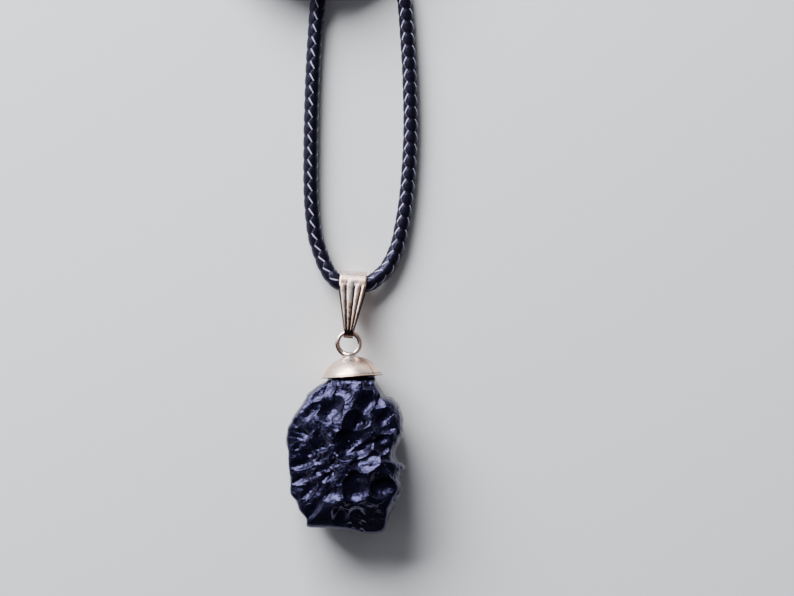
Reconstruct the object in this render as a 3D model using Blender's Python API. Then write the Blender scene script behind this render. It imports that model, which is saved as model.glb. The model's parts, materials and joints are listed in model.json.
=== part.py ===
"""A tektite pendant on a waxed cord: a black glassy stone in a brass bell cap, hung from a fluted bail.

The pendant lies on its back, face up, on a flat surface at z = 0. Sizes are in millimetres until MM turns
them into metres. Plan positions are measured from the centre of the ring on the cap, and heights from the
surface.
"""
import math

import bmesh
import bpy
import numpy as np
from mathutils import Matrix, Vector

MM = 0.001

# The ring's centre in the part's own frame: x and y put the middle of the pendant at the origin.
RING_CENTRE_X = 0.34
RING_CENTRE_Y = 7.66
RING_HEIGHT = 4.25

# Ring soldered on the cap
RING_RADIUS = 1.45
RING_WIRE = 0.29
SOLDER_CENTRE = (0.12, -1.66)
SOLDER_SIZE = (1.02, 0.40, 0.50)

# Bell cap: a shell cut from two balls about one axis
CAP_RIM_CENTRE = (0.48, -4.31)
CAP_TILT = math.radians(3.55)
CAP_RADIUS = 3.97
CAP_HEIGHT = 2.70
CAP_WALL = 0.40
CAP_GAP = 0.30
CAP_SEGMENTS = 36
RING_SEGMENTS = 32
WIRE_SIDES = 10

# Bail: a strip folded round the cord at its top and round the ring's wire at its foot
BAIL_LENGTH = 6.70
BAIL_TOP_RADII = (1.70, 1.45)
BAIL_FOOT_RADII = (0.77, 0.46)
BAIL_TOP_WIDTH = 3.45
BAIL_FOOT_WIDTH = 1.20
BAIL_TAPER_LENGTH = 6.0
BAIL_LEAN = math.radians(-4.46)
BAIL_SLOPE = math.radians(-21.7)
FLUTE_GROOVES = (-1.0, -0.48, 0.19, 0.72, 1.0)
FLUTE_HEIGHT = 0.16
FLUTE_END = 5.9
FLUTE_FADE = 0.9

# Stone: its heart is a point inside from which the whole surface can be seen
STONE_HEART = (-0.30, -14.60, 4.60)
STONE_FRONT = 5.05
STONE_BACK = 4.70
STONE_FULLNESS = 3.6
STONE_DETAIL = 15
CREST_ROUNDING = 0.10
EDGE_ROUNDING = 0.35
HOLLOW_WANDER = 0.035
HOLLOW_LEAN = (-0.07, 0.22, 0.0)
NECK_SPREAD = 3.0
STONE_OUTLINE = (
    (0.40, -2.60), (-1.60, -3.05), (-2.75, -4.10), (-3.45, -4.95), (-5.13, -6.30), (-5.80, -7.40),
    (-6.47, -8.37), (-7.24, -9.50), (-7.88, -10.63), (-8.20, -12.46), (-7.98, -13.86), (-7.82, -16.00),
    (-7.64, -18.09), (-7.60, -19.50), (-6.82, -20.55), (-6.40, -21.61), (-5.55, -22.74), (-5.41, -23.70),
    (-4.00, -23.86), (-2.17, -23.93), (0.08, -24.15), (1.77, -24.54), (3.81, -24.60), (4.66, -24.08),
    (5.22, -22.46), (6.10, -20.90), (6.75, -20.06), (7.05, -18.93), (6.80, -17.53), (6.91, -16.68),
    (7.42, -16.19), (7.22, -15.63), (6.40, -14.99), (6.25, -14.30), (6.49, -13.16), (7.05, -12.17),
    (7.19, -10.48), (6.98, -9.08), (6.49, -7.81), (5.57, -6.96), (4.62, -6.60), (4.30, -5.84),
    (3.60, -4.70), (3.30, -3.90), (2.20, -3.05),
)
# Flat fracture faces: a point on the face, and how far it rises per millimetre along x and y
STONE_FACETS = (
    ((-1.30, -11.90, 9.25), 0.40, 0.03),
    ((-1.30, -11.90, 9.25), 0.27, -0.22),
    ((0.00, -21.30, 8.55), -0.05, 0.85),
    ((1.50, -9.50, 9.05), -0.04, -0.14),
    ((6.00, -13.00, 8.70), -0.85, 0.05),
    ((2.00, -14.00, -0.10), 0.16, -0.07),
)
# Hollows on the front, each by its place, its half width and half length, its turn in degrees and its depth
FRONT_HOLLOWS = (
    (-2.30, -8.60, 1.85, 1.80, 15, 0.75),
    (-4.90, -8.70, 1.60, 1.25, 35, 0.40),
    (-6.50, -10.10, 1.30, 1.00, 40, 0.40),
    (1.00, -9.95, 2.45, 1.60, -5, 0.95),
    (0.60, -13.10, 2.90, 2.70, -15, 1.50),
    (2.90, -15.40, 2.80, 1.30, 6, 0.70),
    (4.75, -9.80, 1.80, 2.30, 10, 0.95),
    (4.60, -13.25, 1.50, 1.70, 10, 0.80),
    (0.85, -18.90, 1.95, 2.10, 8, 1.05),
    (4.25, -18.50, 2.00, 1.75, 0, 1.05),
    (2.45, -5.40, 1.15, 1.05, -20, 0.60),
    (1.90, -7.50, 1.75, 1.15, 20, 0.60),
    (-0.90, -6.50, 1.35, 1.15, -15, 0.45),
    (0.40, -5.00, 1.10, 0.80, 10, 0.35),
    (-2.70, -5.70, 1.30, 0.95, 30, 0.40),
    (-4.20, -6.60, 1.10, 0.90, 40, 0.35),
    (3.90, -7.30, 1.10, 0.95, -30, 0.40),
    (1.75, -22.00, 1.70, 1.20, 30, 0.40),
    (-2.20, -19.80, 1.70, 1.20, 15, 0.40),
    (-5.80, -12.00, 1.50, 1.20, 20, 0.28),
    (-3.60, -13.20, 1.40, 1.30, -30, 0.28),
    (-5.50, -15.20, 1.60, 1.30, 10, 0.30),
    (-3.20, -16.60, 1.50, 1.20, 35, 0.28),
    (-5.60, -18.60, 1.50, 1.30, -15, 0.32),
    (-3.90, -21.50, 1.60, 1.10, 30, 0.40),
    (-0.60, -22.30, 1.20, 1.00, 0, 0.30),
    (4.40, -21.60, 1.30, 1.20, -20, 0.40),
)
SIDE_HOLLOW_COUNT = 30
SIDE_HOLLOW_SEED = 11
SIDE_HOLLOW_SIZES = (1.2, 2.4)
SIDE_HOLLOW_HEIGHTS = (-0.20, -0.86)

# Cord: the route's plan points on the surface, from the coil down one strand, through the bail and back up
CORD_RADIUS = 1.025
CORD_REST = 1.035
CORD_IN_BAIL = 1.74
CORD_STEP = 2.6
COIL_CENTRE = (-6.5, 59.2)
COIL_MEAN_RADIUS = 10.8
COIL_LAYERS = 3
COIL_GAP = 0.35
CORD_END_GAP = 0.65
COIL_SEGMENTS = 40
CORD_SIDES = 8
CORD_ROUTE = (
    (-3.60, 46.60, 0.0), (-4.06, 44.60, 0.0), (-4.45, 40.00, 0.0), (-4.75, 34.70, 0.0),
    (-4.97, 27.20, 0.0), (-4.97, 19.80, 0.0), (-4.55, 14.80, 0.0), (-3.92, 12.30, 0.0),
    (-2.85, 9.62, 0.45), (-1.42, 7.98, 1.0), (0.60, 7.64, 1.0), (2.48, 7.74, 1.0),
    (3.66, 8.52, 0.65), (4.96, 9.78, 0.2), (6.21, 12.30, 0.0), (6.84, 14.80, 0.0),
    (7.60, 19.80, 0.0), (8.06, 27.20, 0.0), (7.95, 34.70, 0.0), (7.65, 40.00, 0.0),
    (7.30, 44.60, 0.0), (6.75, 48.20, 0.0), (6.05, 51.90, 0.0), (5.50, 55.30, 0.0),
)

# Knot in the coil's middle: each end's way through it to its short tail, measured from the coil's centre, and
# the turns that both ends take round themselves
END_ROUTES = (
    ((-4.00, 7.30, 4.90), (-4.30, 5.60, 4.40), (-3.70, 4.00, 3.80), (-2.60, 2.60, 3.30),
     (-1.21, 1.23, 3.07), (0.91, -0.89, 3.07), (3.03, -3.01, 3.07), (4.40, -4.10, 2.30), (5.40, -4.60, 1.50)),
    ((-6.30, 4.20, 4.90), (-5.20, 2.60, 4.10), (-4.00, 1.20, 3.40), (-2.63, -0.19, 3.07),
     (-0.51, -2.31, 3.07), (1.61, -4.43, 3.07), (2.30, -5.60, 2.30), (2.50, -6.70, 1.40)),
)
KNOT_PLACE = (0.20, -1.60, 3.07)
KNOT_HEADING = math.radians(-45)
KNOT_TURN_SIZE = (2.95, 1.98)
KNOT_TURN_SLANT = 0.9
KNOT_STEP = 1.1
KNOT_STEPS_ROUND = 18

STONE_BLACK = (0.010, 0.010, 0.018)
ANTIQUE_BRASS = (0.55, 0.40, 0.29)
CORD_BLACK = (0.020, 0.018, 0.035)


def make_material(name, colour, roughness, metallic):
    material = bpy.data.materials.new(name)
    material.use_nodes = True
    shader = material.node_tree.nodes["Principled BSDF"]
    shader.inputs["Base Color"].default_value = (*colour, 1.0)
    shader.inputs["Roughness"].default_value = roughness
    shader.inputs["Metallic"].default_value = metallic
    material.diffuse_color = (*colour, 1.0)
    return material


def make_object(name, points, faces, parent, material, sharp_degrees=35):
    """A mesh object from points in millimetres, smooth except at sharp edges."""
    mesh = bpy.data.meshes.new(name)
    mesh.from_pydata([Vector(point) * MM for point in points], [], faces)
    tidy = bmesh.new()
    tidy.from_mesh(mesh)
    bmesh.ops.recalc_face_normals(tidy, faces=tidy.faces)
    tidy.to_mesh(mesh)
    tidy.free()
    mesh.shade_smooth()
    mesh.set_sharp_from_angle(angle=math.radians(sharp_degrees))
    piece = bpy.data.objects.new(name, mesh)
    bpy.context.scene.collection.objects.link(piece)
    piece.parent = parent
    if material:
        mesh.materials.append(material)
    return piece


def grid_faces(rows, columns, close_rows=False, close_columns=False):
    """Four-sided faces between the points of a grid that is stored row by row."""
    faces = []
    for i in range(rows if close_rows else rows - 1):
        for j in range(columns if close_columns else columns - 1):
            k, m = (i + 1) % rows, (j + 1) % columns
            faces.append((i * columns + j, i * columns + m, k * columns + m, k * columns + j))
    return faces


def join_into(piece, tool):
    """Fuses the guide object tool into piece."""
    tool.hide_render = True
    tool.display_type = "WIRE"
    fuse = piece.modifiers.new("fuse " + tool.name, "BOOLEAN")
    fuse.operation = "UNION"
    fuse.solver = "EXACT"
    fuse.object = tool


def smooth_curve(points, samples):
    """Points along a smooth curve through the given ones, at even steps of the curve's own measure."""
    points = np.array(points, float)
    ahead = np.vstack([2 * points[0] - points[1], points, 2 * points[-1] - points[-2]])
    curve = []
    for i in range(1, len(ahead) - 2):
        a, b, c, d = ahead[i - 1 : i + 3]
        for t in np.linspace(0, 1, samples, endpoint=False):
            curve.append(
                0.5 * (2 * b + (c - a) * t + (2 * a - 5 * b + 4 * c - d) * t**2
                       + (3 * b - a - 3 * c + d) * t**3)
            )
    curve.append(points[-1])
    return np.array(curve)


def even_steps(curve, step):
    """The same curve, with its points about one step apart."""
    length = np.concatenate([[0], np.cumsum(np.linalg.norm(np.diff(curve, axis=0), axis=1))])
    count = int(round(length[-1] / step))
    wanted = np.linspace(0, length[-1], count + 1)
    return np.column_stack([np.interp(wanted, length, curve[:, k]) for k in range(3)])


def ball_directions(detail):
    """Directions and triangles of a ball: an icosahedron with each edge cut into equal pieces."""
    tall = (1 + math.sqrt(5)) / 2
    corners = np.array([
        (-1, tall, 0), (1, tall, 0), (-1, -tall, 0), (1, -tall, 0), (0, -1, tall), (0, 1, tall),
        (0, -1, -tall), (0, 1, -tall), (tall, 0, -1), (tall, 0, 1), (-tall, 0, -1), (-tall, 0, 1),
    ])
    corners /= np.linalg.norm(corners[0])
    sides = [
        (a, b, c)
        for a in range(12) for b in range(a + 1, 12) for c in range(b + 1, 12)
        if max(np.linalg.norm(corners[a] - corners[b]), np.linalg.norm(corners[b] - corners[c]),
               np.linalg.norm(corners[c] - corners[a])) < 1.1
    ]
    number, directions, faces = {}, [], []

    def corner(a, b, c, i, j):
        weights = tuple(sorted(((a, detail - i - j), (b, i), (c, j))))
        key = tuple(w for w in weights if w[1])
        if key not in number:
            number[key] = len(directions)
            point = sum(corners[n] * w for n, w in key)
            directions.append(point / np.linalg.norm(point))
        return number[key]

    for a, b, c in sides:
        outward = np.dot(np.cross(corners[b] - corners[a], corners[c] - corners[a]), corners[a]) > 0
        if not outward:
            b, c = c, b
        for i in range(detail):
            for j in range(detail - i):
                faces.append((corner(a, b, c, i, j), corner(a, b, c, i + 1, j), corner(a, b, c, i, j + 1)))
                if i + j < detail - 1:
                    faces.append((corner(a, b, c, i + 1, j), corner(a, b, c, i + 1, j + 1),
                                  corner(a, b, c, i, j + 1)))
    return np.array(directions), faces


def rounded_min(a, b, width):
    """The smaller of two distances, with the crest between them rounded over the width."""
    share = np.clip(0.5 + 0.5 * (b - a) / width, 0, 1)
    return b * (1 - share) + a * share - width * share * (1 - share)


def outline_reach(angles):
    """How far the stone's outline is from its heart in the plan, in each direction."""
    heart = np.array(STONE_HEART[:2])
    looped = np.array(STONE_OUTLINE + STONE_OUTLINE[:1])
    curve = smooth_curve(looped, 6) - heart
    turn = np.arctan2(curve[:, 1], curve[:, 0])
    return np.interp(angles, turn, np.hypot(curve[:, 0], curve[:, 1]), period=2 * math.pi)


def body_reach(directions):
    """The stone's rough block before its hollows: outline, domed front and back, fracture faces."""
    x, y, z = directions.T
    flat = np.hypot(x, y)
    depth = np.where(z > 0, STONE_FRONT, STONE_BACK)
    reach = ((flat / outline_reach(np.arctan2(y, x))) ** STONE_FULLNESS
             + (np.abs(z) / depth) ** STONE_FULLNESS) ** (-1 / STONE_FULLNESS)
    for (px, py, pz), rise_x, rise_y in STONE_FACETS:
        above = pz + rise_x * (STONE_HEART[0] - px) + rise_y * (STONE_HEART[1] - py) - STONE_HEART[2]
        lean = z - rise_x * x - rise_y * y
        facing = lean * above > 0
        distance = np.where(facing, above / np.where(facing, lean, 1), 99.0)
        reach = rounded_min(reach, distance, EDGE_ROUNDING)
    return reach


def front_direction(x, y):
    """The direction from the heart to the front above a plan position."""
    across, along = x - STONE_HEART[0], y - STONE_HEART[1]
    up = STONE_FRONT
    for _ in range(8):
        direction = np.array([across, along, up])
        direction /= np.linalg.norm(direction)
        up = max(body_reach(direction[None, :])[0] * direction[2], 0.5)
    return direction


def hollows():
    """Every hollow: its direction, its two half sizes, its turn and its depth."""
    found = [
        (front_direction(x, y), wide, long, math.radians(turn), depth)
        for x, y, wide, long, turn, depth in FRONT_HOLLOWS
    ]
    chance = np.random.default_rng(SIDE_HOLLOW_SEED)
    golden = math.pi * (3 - math.sqrt(5))
    upper, lower = SIDE_HOLLOW_HEIGHTS
    for number in range(SIDE_HOLLOW_COUNT):
        height = upper + (lower - upper) * (number + 0.5) / SIDE_HOLLOW_COUNT
        turn = golden * number + chance.uniform(-0.3, 0.3)
        level = math.sqrt(1 - height**2)
        direction = np.array([level * math.cos(turn), level * math.sin(turn), height])
        size = chance.uniform(*SIDE_HOLLOW_SIZES)
        depth = 0.08 + 0.16 * min((upper - height) / 0.30, 1.0)
        length, turned_by = size * chance.uniform(0.7, 1.0), chance.uniform(0, math.pi)
        found.append((direction, size, length, turned_by, size * depth))
    return found


def wander(directions):
    """Directions pushed about a little, so that no hollow's rim is a plain oval."""
    x, y, z = directions.T
    push = np.stack([np.sin(9 * y + 4 * z + 0.6) + 0.6 * np.sin(19 * z - 13 * y + 2.1),
                     np.sin(8 * z + 5 * x + 1.9) + 0.6 * np.sin(17 * x + 15 * z + 0.4),
                     np.sin(10 * x - 6 * y + 3.3) + 0.6 * np.sin(21 * y - 11 * x + 1.2)], axis=-1)
    return directions + HOLLOW_WANDER * push


def surface_frame(middle):
    """The rough block's surface in one direction: the place and the way straight out of it."""
    side = np.cross((0.0, 1.0, 0.0) if abs(middle[1]) < 0.9 else (1.0, 0.0, 0.0), middle)
    ways = np.array([middle, middle + 0.02 * side, middle + 0.02 * np.cross(middle, side)])
    ways /= np.linalg.norm(ways, axis=1)[:, None]
    places = ways * body_reach(ways)[:, None]
    out = np.cross(places[1] - places[0], places[2] - places[0])
    return places[0], out / np.linalg.norm(out)


def carve(reach, directions, hollow):
    """Cuts one rounded bite into the surface, leaning to the top; where two meet, a crest is left."""
    middle, half_width, half_length, turn, depth = hollow
    place, out = surface_frame(middle)
    out = out + np.array(HOLLOW_LEAN) * max(out[2], 0.0)
    out /= np.linalg.norm(out)
    first = np.array([math.cos(turn), math.sin(turn), 0.0])
    first -= out * (first @ out)
    first /= np.linalg.norm(first)
    # The bite is a ball once the plan is scaled to its half width, its half length and their mean
    size = math.sqrt(half_width * half_length)
    share = depth / size
    ball = (1 + share**2) / (2 * share)
    axes = np.stack([first / half_width, np.cross(out, first) / half_length, out / size], axis=-1)
    start = -place @ axes - (0.0, 0.0, ball - share)
    heading = directions @ axes
    square = (heading**2).sum(axis=1)
    toward = heading @ start
    within = toward**2 - square * (start @ start - ball**2)
    distance = (-toward - np.sqrt(np.maximum(within, 0.0))) / square
    return rounded_min(reach, np.where((within > 0) & (toward < 0), distance, 99.0), CREST_ROUNDING)


def keep_inside_cap(points):
    """Draws the stone's neck in, so that it fits the cap with a gap all round."""
    axis = np.array([-math.sin(CAP_TILT), math.cos(CAP_TILT), 0.0])
    rim = np.array([*CAP_RIM_CENTRE, RING_HEIGHT])
    along = (points - rim) @ axis
    out = points - rim - along[:, None] * axis
    radius = np.linalg.norm(out, axis=1)
    throat = CAP_RADIUS - CAP_WALL - CAP_GAP
    top = CAP_HEIGHT - CAP_WALL - CAP_GAP
    along = np.minimum(along, top * 0.97)
    room = throat * np.sqrt(np.clip(1 - (np.clip(along, 0, None) / top) ** 2, 0, 1))
    room = np.where(along < -CAP_GAP, throat + NECK_SPREAD * (-CAP_GAP - along), room)
    shrink = np.where(radius > room, room / np.maximum(radius, 1e-6), 1.0)
    return rim + along[:, None] * axis + out * shrink[:, None]


def make_stone(parent, material):
    directions, faces = ball_directions(STONE_DETAIL)
    reach = body_reach(directions)
    wandered = wander(directions)
    for hollow in hollows():
        reach = carve(reach, wandered, hollow)
    down = -directions[:, 2]
    to_surface = np.where(down > 0, STONE_HEART[2] / np.maximum(down, 1e-6), 99.0)
    reach = np.minimum(reach, to_surface)
    points = np.array(STONE_HEART) + directions * reach[:, None]
    points = keep_inside_cap(points)
    points[:, 2] = np.where(points[:, 2] < 0.002, 0.0, points[:, 2])
    return make_object("tektite", points, faces, parent, material, 40)


def turned(profile, segments, place, closed):
    """A profile of (radius, height) points turned about the axis that place sets up."""
    points, faces = [], []
    for i in range(segments):
        angle = 2 * math.pi * i / segments
        points += [place @ Vector((r * math.cos(angle), r * math.sin(angle), h)) for r, h in profile]
    faces = grid_faces(segments, len(profile), close_rows=True, close_columns=closed)
    return points, faces


def cap_profile():
    """The shell's section beside its axis, from the crown down the outside and back up inside."""
    ball = (CAP_RADIUS**2 + CAP_HEIGHT**2) / (2 * CAP_HEIGHT)
    below = ball - CAP_HEIGHT
    inner = ball - CAP_WALL
    rim_angle = math.asin(CAP_RADIUS / ball)
    inner_angle = math.acos(below / inner)
    outside = [(ball * math.sin(a), ball * math.cos(a) - below) for a in np.linspace(0, rim_angle, 9)[1:-1]]
    lip = [(CAP_RADIUS - 0.02, 0.16), (CAP_RADIUS, 0.08), (CAP_RADIUS - 0.06, 0.0)]
    inside = [(inner * math.sin(a), inner * math.cos(a) - below) for a in np.linspace(inner_angle, 0, 7)[:-1]]
    return outside + lip + inside, (ball - below, inner - below)


def make_cap(parent, material):
    place = (Matrix.Translation((*CAP_RIM_CENTRE, RING_HEIGHT))
             @ Matrix.Rotation(CAP_TILT, 4, "Z") @ Matrix.Rotation(math.radians(-90), 4, "X"))
    profile, (crown, ceiling) = cap_profile()
    points, faces = turned(profile, CAP_SEGMENTS, place, closed=False)
    crown_at, ceiling_at = len(points), len(points) + 1
    points += [place @ Vector((0, 0, crown)), place @ Vector((0, 0, ceiling))]
    width = len(profile)
    for i in range(CAP_SEGMENTS):
        k = (i + 1) % CAP_SEGMENTS
        faces += [(crown_at, i * width, k * width), (ceiling_at, (k + 1) * width - 1, (i + 1) * width - 1)]
    cap = make_object("bell_cap", points, faces, parent, material)

    wire = [(RING_RADIUS + RING_WIRE * math.cos(a), RING_WIRE * math.sin(a))
            for a in np.linspace(0, 2 * math.pi, WIRE_SIDES, endpoint=False)]
    points, faces = turned(wire, RING_SEGMENTS, Matrix.Translation((0, 0, RING_HEIGHT)), closed=True)
    ring = make_object("ring_guide", points, faces, parent, material)

    rows, columns = 7, 14
    points = [(0, 0, -1)]
    for i in range(1, rows):
        tilt = math.pi * (i / rows - 0.5)
        points += [(math.cos(tilt) * math.cos(turn), math.cos(tilt) * math.sin(turn), math.sin(tilt))
                   for turn in np.linspace(0, 2 * math.pi, columns, endpoint=False)]
    points.append((0, 0, 1))
    faces = [tuple(1 + k for k in face) for face in grid_faces(rows - 1, columns, close_columns=True)]
    last = 1 + (rows - 2) * columns
    faces += [(0, 1 + (j + 1) % columns, 1 + j) for j in range(columns)]
    faces += [(len(points) - 1, last + j, last + (j + 1) % columns) for j in range(columns)]
    centre = Vector((*SOLDER_CENTRE, RING_HEIGHT))
    points = [centre + Vector([p * s for p, s in zip(point, SOLDER_SIZE)]) for point in points]
    solder = make_object("solder_guide", points, faces, parent, material)
    join_into(cap, ring)
    join_into(cap, solder)
    return cap


def bail_section(radii):
    """The side view of the folded strip: an arc round the cord, one round the ring, straight between."""
    top, foot = radii
    lean = math.asin((top - foot) / BAIL_LENGTH)
    quarter = math.pi / 2
    section = [(BAIL_LENGTH + top * math.cos(a), top * math.sin(a))
               for a in np.linspace(-quarter - lean, quarter + lean, 17)]
    front_top, front_foot = section[-1], (foot * math.cos(quarter + lean), foot * math.sin(quarter + lean))
    section += [tuple(np.array(front_top) * (1 - t) + np.array(front_foot) * t)
                for t in np.linspace(0, 1, 8)[1:-1]]
    section += [(foot * math.cos(a), foot * math.sin(a))
                for a in np.linspace(quarter + lean, 2 * math.pi - quarter - lean, 11)]
    back_foot, back_top = section[-1], section[0]
    section += [tuple(np.array(back_foot) * (1 - t) + np.array(back_top) * t)
                for t in np.linspace(0, 1, 6)[1:-1]]
    return section


def bail_half_width(along):
    share = min(max(along / BAIL_TAPER_LENGTH, 0.0), 1.0)
    return 0.5 * (BAIL_FOOT_WIDTH + (BAIL_TOP_WIDTH - BAIL_FOOT_WIDTH) * share)


def flute_rise(across, along, height):
    """How far the front stands out between the grooves; plain at the top fold and round the foot."""
    if height < 0:
        return 0.0
    for left, right in zip(FLUTE_GROOVES, FLUTE_GROOVES[1:]):
        if left <= across <= right:
            t = (2 * across - left - right) / (right - left)
            arch = 1 - t * t
    strength = min(max((FLUTE_END + FLUTE_FADE - along) / FLUTE_FADE, 0.0), 1.0)
    return FLUTE_HEIGHT * (arch * strength + 0.5 * (1 - strength)) * min(max(along + 0.6, 0.0), 1.0)


def make_bail(parent, material):
    place = (Matrix.Translation((0, RING_RADIUS, RING_HEIGHT))
             @ Matrix.Rotation(BAIL_LEAN, 4, "Z") @ Matrix.Rotation(BAIL_SLOPE, 4, "X"))
    columns = []
    for left, right in zip(FLUTE_GROOVES, FLUTE_GROOVES[1:]):
        columns += [left, (left + right) / 2]
    columns.append(1.0)
    outer = bail_section((BAIL_TOP_RADII[0], BAIL_FOOT_RADII[0]))
    inner = bail_section((BAIL_TOP_RADII[1], BAIL_FOOT_RADII[1]))
    points = []
    for along, height in outer:
        for across in columns:
            rise = flute_rise(across, along, height)
            points.append(place @ Vector((across * bail_half_width(along), along, height + rise)))
    faces = grid_faces(len(outer), len(columns), close_rows=True)
    start, wide = len(points), len(columns)
    for (along, height), (outer_along, _) in zip(inner, outer):
        half = bail_half_width(outer_along)
        points += [place @ Vector((-half, along, height)), place @ Vector((half, along, height))]
    for i in range(len(inner)):
        k = (i + 1) % len(inner)
        faces.append((start + 2 * i, start + 2 * k, start + 2 * k + 1, start + 2 * i + 1))
        faces.append((i * wide, k * wide, start + 2 * k, start + 2 * i))
        faces.append((i * wide + wide - 1, start + 2 * i + 1, start + 2 * k + 1, k * wide + wide - 1))
    return make_object("bail", points, faces, parent, material, 30)


def cord_path():
    """The cord's middle line from one side of the coil, through the bail, to the coil's other side."""
    route = [(x, y, CORD_REST + (CORD_IN_BAIL - CORD_REST) * lift) for x, y, lift in CORD_ROUTE]
    curve = smooth_curve(route, 12)
    outside = COIL_MEAN_RADIUS + 2 * CORD_RADIUS + CORD_END_GAP
    away = np.hypot(curve[:, 0] - COIL_CENTRE[0], curve[:, 1] - COIL_CENTRE[1]) > outside
    return even_steps(curve[away], CORD_STEP)


def make_tube(name, path, parent, material, closed=False):
    """A round cord along a path of points; a closed one runs back into its own start."""
    path = np.array(path, float)
    if closed:
        ahead = np.roll(path, -1, axis=0) - np.roll(path, 1, axis=0)
    else:
        ahead = np.gradient(path, axis=0)
    ahead /= np.linalg.norm(ahead, axis=1)[:, None]
    # A closed turn stands upright, so its own axis is a steady side direction
    side = np.array([0.0, 0.0, 1.0])
    if closed:
        side = np.array([math.cos(KNOT_HEADING), math.sin(KNOT_HEADING), 0.0])
    points = []
    for place, direction in zip(path, ahead):
        side = side - direction * np.dot(side, direction)
        side /= np.linalg.norm(side)
        other = np.cross(direction, side)
        points += [place + CORD_RADIUS * (math.cos(turn) * side + math.sin(turn) * other)
                   for turn in np.linspace(0, 2 * math.pi, CORD_SIDES, endpoint=False)]
    faces = grid_faces(len(path), CORD_SIDES, close_rows=closed, close_columns=True)
    if not closed:
        faces += [tuple(range(CORD_SIDES)), tuple(range(len(points) - CORD_SIDES, len(points)))]
    return make_object(name, points, faces, parent, material, 60)


def make_coil(parent, material):
    inner = COIL_MEAN_RADIUS - 2 * CORD_RADIUS
    outer = COIL_MEAN_RADIUS + 2 * CORD_RADIUS
    height = COIL_LAYERS * 2 * CORD_RADIUS
    edge = 0.5 * CORD_RADIUS
    profile = [(inner, edge), (inner + edge, 0), (outer - edge, 0), (outer, edge),
               (outer, height - edge), (outer - edge, height), (inner + edge, height), (inner, height - edge)]
    points, faces = turned(profile, COIL_SEGMENTS, Matrix.Translation((*COIL_CENTRE, 0)), closed=True)
    return make_object("cord_coil", points, faces, parent, material, 60)


def knot_turns():
    """The two turns, side by side and slanted, that the doubled cord takes round itself."""
    heading = np.array([math.cos(KNOT_HEADING), math.sin(KNOT_HEADING), 0.0])
    across = np.array([-heading[1], heading[0], 0.0])
    middle = np.array(KNOT_PLACE) + np.array([*COIL_CENTRE, 0.0])
    angles = np.linspace(0, 2 * math.pi, KNOT_STEPS_ROUND, endpoint=False)
    wide, high = KNOT_TURN_SIZE
    return [
        [middle + (offset + KNOT_TURN_SLANT * math.cos(a)) * heading + wide * math.cos(a) * across
         + np.array([0.0, 0.0, high * math.sin(a)]) for a in angles]
        for offset in (-CORD_RADIUS, CORD_RADIUS)
    ]


def make_knot(parent, material):
    """The two ends come from the coil, lie side by side inside two turns and leave as short tails."""
    wall = COIL_MEAN_RADIUS - 3 * CORD_RADIUS - COIL_GAP
    tubes = []
    for route in END_ROUTES:
        curve = smooth_curve(route, 8)
        inside = curve[np.hypot(curve[:, 0], curve[:, 1]) < wall]
        tubes.append(even_steps(inside, KNOT_STEP) + np.array([*COIL_CENTRE, 0.0]))
    knot = make_tube("cord_knot", tubes[0], parent, material)
    join_into(knot, make_tube("second_end_guide", tubes[1], parent, material))
    for number, turn in enumerate(knot_turns()):
        join_into(knot, make_tube(f"knot_turn_guide_{number}", turn, parent, material, closed=True))
    return knot


def main():
    for old in list(bpy.data.objects):
        bpy.data.objects.remove(old)
    stone = make_material("black tektite glass", STONE_BLACK, 0.12, 0.0)
    brass = make_material("antique brass", ANTIQUE_BRASS, 0.28, 1.0)
    waxed = make_material("waxed cord", CORD_BLACK, 0.45, 0.0)

    swing_axis = bpy.data.objects.new("swing_axis", None)
    swing_axis.location = Vector((RING_CENTRE_X, RING_CENTRE_Y, 0)) * MM
    bpy.context.scene.collection.objects.link(swing_axis)

    make_stone(swing_axis, stone)
    make_cap(swing_axis, brass)
    make_bail(swing_axis, brass)
    make_tube("cord", cord_path(), swing_axis, waxed)
    make_coil(swing_axis, waxed)
    make_knot(swing_axis, waxed)


main()
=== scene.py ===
"""Looks of a tektite pendant that lies face up on a pale surface, seen from straight above.

Sizes are in millimetres until MM turns them into metres. Plan positions are measured from the centre of the
ring on the bell cap, as the pendant's joint gives it, and heights from the surface.
"""
import json
import math

import bmesh
import bpy
import numpy as np
from mathutils import Matrix, Vector
from mathutils import noise as noise_field

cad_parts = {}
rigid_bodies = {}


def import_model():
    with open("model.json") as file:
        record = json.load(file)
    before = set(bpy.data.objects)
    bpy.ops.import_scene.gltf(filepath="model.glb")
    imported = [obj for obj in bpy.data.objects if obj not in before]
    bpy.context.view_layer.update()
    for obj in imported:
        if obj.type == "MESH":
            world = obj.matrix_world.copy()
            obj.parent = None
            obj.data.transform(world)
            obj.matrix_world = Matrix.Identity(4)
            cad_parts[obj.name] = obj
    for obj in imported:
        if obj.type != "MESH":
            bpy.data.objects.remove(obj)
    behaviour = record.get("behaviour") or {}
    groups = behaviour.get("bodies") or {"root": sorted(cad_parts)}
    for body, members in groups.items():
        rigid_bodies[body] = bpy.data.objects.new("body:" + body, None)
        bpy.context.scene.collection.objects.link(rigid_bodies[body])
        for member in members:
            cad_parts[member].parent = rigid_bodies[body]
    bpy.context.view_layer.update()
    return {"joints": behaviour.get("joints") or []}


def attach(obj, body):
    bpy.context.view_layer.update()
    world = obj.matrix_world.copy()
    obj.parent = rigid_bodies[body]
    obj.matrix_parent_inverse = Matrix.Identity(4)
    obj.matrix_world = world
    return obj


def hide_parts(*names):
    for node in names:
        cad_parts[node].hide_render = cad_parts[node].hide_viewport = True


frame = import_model()

MM = 0.001
JOINT = frame["joints"][0]
RING_X, RING_Y, RING_HEIGHT = (value / MM for value in JOINT["pos_m"])
CORD_BODY = JOINT["parent"]
PENDANT_BODY = JOINT["child"]

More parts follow.
